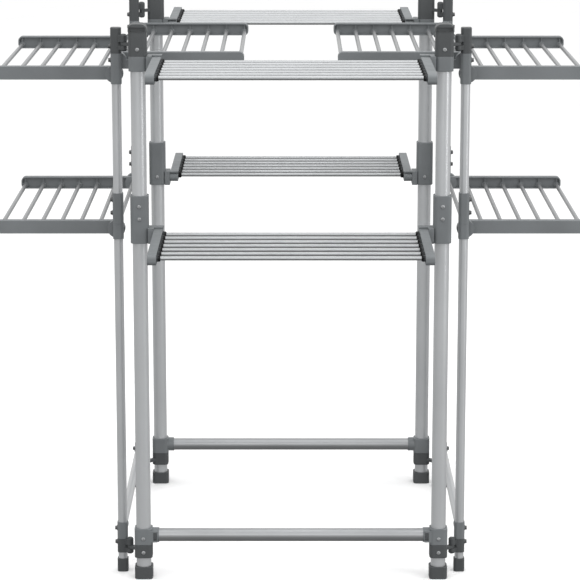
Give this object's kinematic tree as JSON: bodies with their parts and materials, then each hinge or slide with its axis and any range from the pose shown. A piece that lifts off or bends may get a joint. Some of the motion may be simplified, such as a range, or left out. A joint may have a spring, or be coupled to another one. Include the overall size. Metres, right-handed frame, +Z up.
{
  "type": "clothes drying rack",
  "caption": "Free-standing clothes drying tower of steel tube, with folding shelves of rods front and back and folding wings at the sides, on a hinged four-sided frame.",
  "frame": {"origin": "on the floor at the middle of the rack", "axes": "+X to the right along the rods of the shelves, +Y to the rear, +Z up; the front faces -Y"},
  "size_m": [1.127, 1.17, 1.0675],
  "materials": {
    "tube_steel": "silver-grey powder coat, satin",
    "rod_steel": "silver-grey coat, satin",
    "grey_plastic": "fine moulded texture, mid grey",
    "dark_plastic": "fine moulded texture, anthracite",
    "screw_steel": "zinc-plated"
  },
  "bodies": {
    "front_frame": {"front_feet": "dark_plastic", "front_hinge_collars": "dark_plastic", "front_left_post": "tube_steel", "front_lower_hubs": "grey_plastic", "front_post_caps": "dark_plastic", "front_rail": "tube_steel", "front_rail_collars": "grey_plastic", "front_right_post": "tube_steel", "front_screws": "screw_steel", "front_upper_hubs": "grey_plastic"},
    "front_lower_shelf": {"front_lower_shelf_bars": "grey_plastic", "front_lower_shelf_rods": "rod_steel"},
    "front_upper_shelf": {"front_upper_shelf_bars": "grey_plastic", "front_upper_shelf_rods": "rod_steel"},
    "left_side": {"left_front_thin_post": "tube_steel", "left_hinge_collars": "dark_plastic", "left_lower_wing_brackets": "grey_plastic", "left_rail_brackets": "grey_plastic", "left_rear_thin_post": "tube_steel", "left_side_rail": "tube_steel", "left_side_screws": "screw_steel", "left_thin_feet": "dark_plastic", "left_thin_post_caps": "dark_plastic", "left_upper_wing_brackets": "grey_plastic"},
    "left_inner_wing": {"left_inner_wing_bars": "grey_plastic", "left_inner_wing_rods": "rod_steel"},
    "left_lower_outer_wing": {"left_lower_outer_wing_bars": "grey_plastic", "left_lower_outer_wing_rods": "rod_steel"},
    "left_upper_outer_wing": {"left_upper_outer_wing_bars": "grey_plastic", "left_upper_outer_wing_rods": "rod_steel"},
    "rear_frame": {"rear_feet": "dark_plastic", "rear_hinge_collars": "dark_plastic", "rear_left_post": "tube_steel", "rear_lower_hubs": "grey_plastic", "rear_post_caps": "dark_plastic", "rear_rail": "tube_steel", "rear_rail_collars": "grey_plastic", "rear_right_post": "tube_steel", "rear_screws": "screw_steel", "rear_upper_hubs": "grey_plastic"},
    "rear_lower_shelf": {"rear_lower_shelf_bars": "grey_plastic", "rear_lower_shelf_rods": "rod_steel"},
    "rear_upper_shelf": {"rear_upper_shelf_bars": "grey_plastic", "rear_upper_shelf_rods": "rod_steel"},
    "right_side": {"right_front_thin_post": "tube_steel", "right_hinge_collars": "dark_plastic", "right_lower_wing_brackets": "grey_plastic", "right_rail_brackets": "grey_plastic", "right_rear_thin_post": "tube_steel", "right_side_rail": "tube_steel", "right_side_screws": "screw_steel", "right_thin_feet": "dark_plastic", "right_thin_post_caps": "dark_plastic", "right_upper_wing_brackets": "grey_plastic"},
    "right_inner_wing": {"right_inner_wing_bars": "grey_plastic", "right_inner_wing_rods": "rod_steel"},
    "right_lower_outer_wing": {"right_lower_outer_wing_bars": "grey_plastic", "right_lower_outer_wing_rods": "rod_steel"},
    "right_upper_outer_wing": {"right_upper_outer_wing_bars": "grey_plastic", "right_upper_outer_wing_rods": "rod_steel"}
  },
  "joints": [
    {"name": "front_lower_shelf_fold", "type": "hinge", "parent": "front_frame", "child": "front_lower_shelf", "pos_m": [0, -0.339, 0.674], "axis": [-1, 0, 0], "range_deg": [0, 90]},
    {"name": "front_upper_shelf_fold", "type": "hinge", "parent": "front_frame", "child": "front_upper_shelf", "pos_m": [0, -0.339, 0.997], "axis": [-1, 0, 0], "range_deg": [0, 90]},
    {"name": "rear_lower_shelf_fold", "type": "hinge", "parent": "rear_frame", "child": "rear_lower_shelf", "pos_m": [0, 0.339, 0.674], "axis": [1, 0, 0], "range_deg": [0, 90]},
    {"name": "rear_upper_shelf_fold", "type": "hinge", "parent": "rear_frame", "child": "rear_upper_shelf", "pos_m": [0, 0.339, 0.997], "axis": [1, 0, 0], "range_deg": [0, 90]},
    {"name": "left_upper_outer_wing_fold", "type": "hinge", "parent": "left_side", "child": "left_upper_outer_wing", "pos_m": [-0.3305, 0, 0.967], "axis": [0, -1, 0], "range_deg": [0, 90]},
    {"name": "left_lower_outer_wing_fold", "type": "hinge", "parent": "left_side", "child": "left_lower_outer_wing", "pos_m": [-0.3305, 0, 0.673], "axis": [0, -1, 0], "range_deg": [0, 90]},
    {"name": "left_inner_wing_fold", "type": "hinge", "parent": "left_side", "child": "left_inner_wing", "pos_m": [-0.321, 0, 0.994], "axis": [0, -1, 0], "range_deg": [0, 90]},
    {"name": "right_upper_outer_wing_fold", "type": "hinge", "parent": "right_side", "child": "right_upper_outer_wing", "pos_m": [0.3305, 0, 0.967], "axis": [0, 1, 0], "range_deg": [0, 90]},
    {"name": "right_lower_outer_wing_fold", "type": "hinge", "parent": "right_side", "child": "right_lower_outer_wing", "pos_m": [0.3305, 0, 0.673], "axis": [0, 1, 0], "range_deg": [0, 90]},
    {"name": "right_inner_wing_fold", "type": "hinge", "parent": "right_side", "child": "right_inner_wing", "pos_m": [0.321, 0, 0.994], "axis": [0, 1, 0], "range_deg": [0, 90]},
    {"name": "frame_fold", "type": "hinge", "parent": "front_frame", "child": "left_side", "pos_m": [-0.311, -0.2985, 0.056], "axis": [0, 0, 1], "range_deg": [-15, 15]},
    {"name": "right_side_fold", "type": "hinge", "parent": "front_frame", "child": "right_side", "pos_m": [0.311, -0.2985, 0.056], "axis": [0, 0, 1], "range_deg": [-15, 15]},
    {"name": "rear_frame_fold", "type": "hinge", "parent": "left_side", "child": "rear_frame", "pos_m": [-0.311, 0.2985, 0.056], "axis": [0, 0, 1], "range_deg": [-15, 15]}
  ],
  "couplings": [
    {"joint": "right_side_fold", "follows": "frame_fold", "ratio": 1},
    {"joint": "rear_frame_fold", "follows": "frame_fold", "ratio": -1}
  ]
}
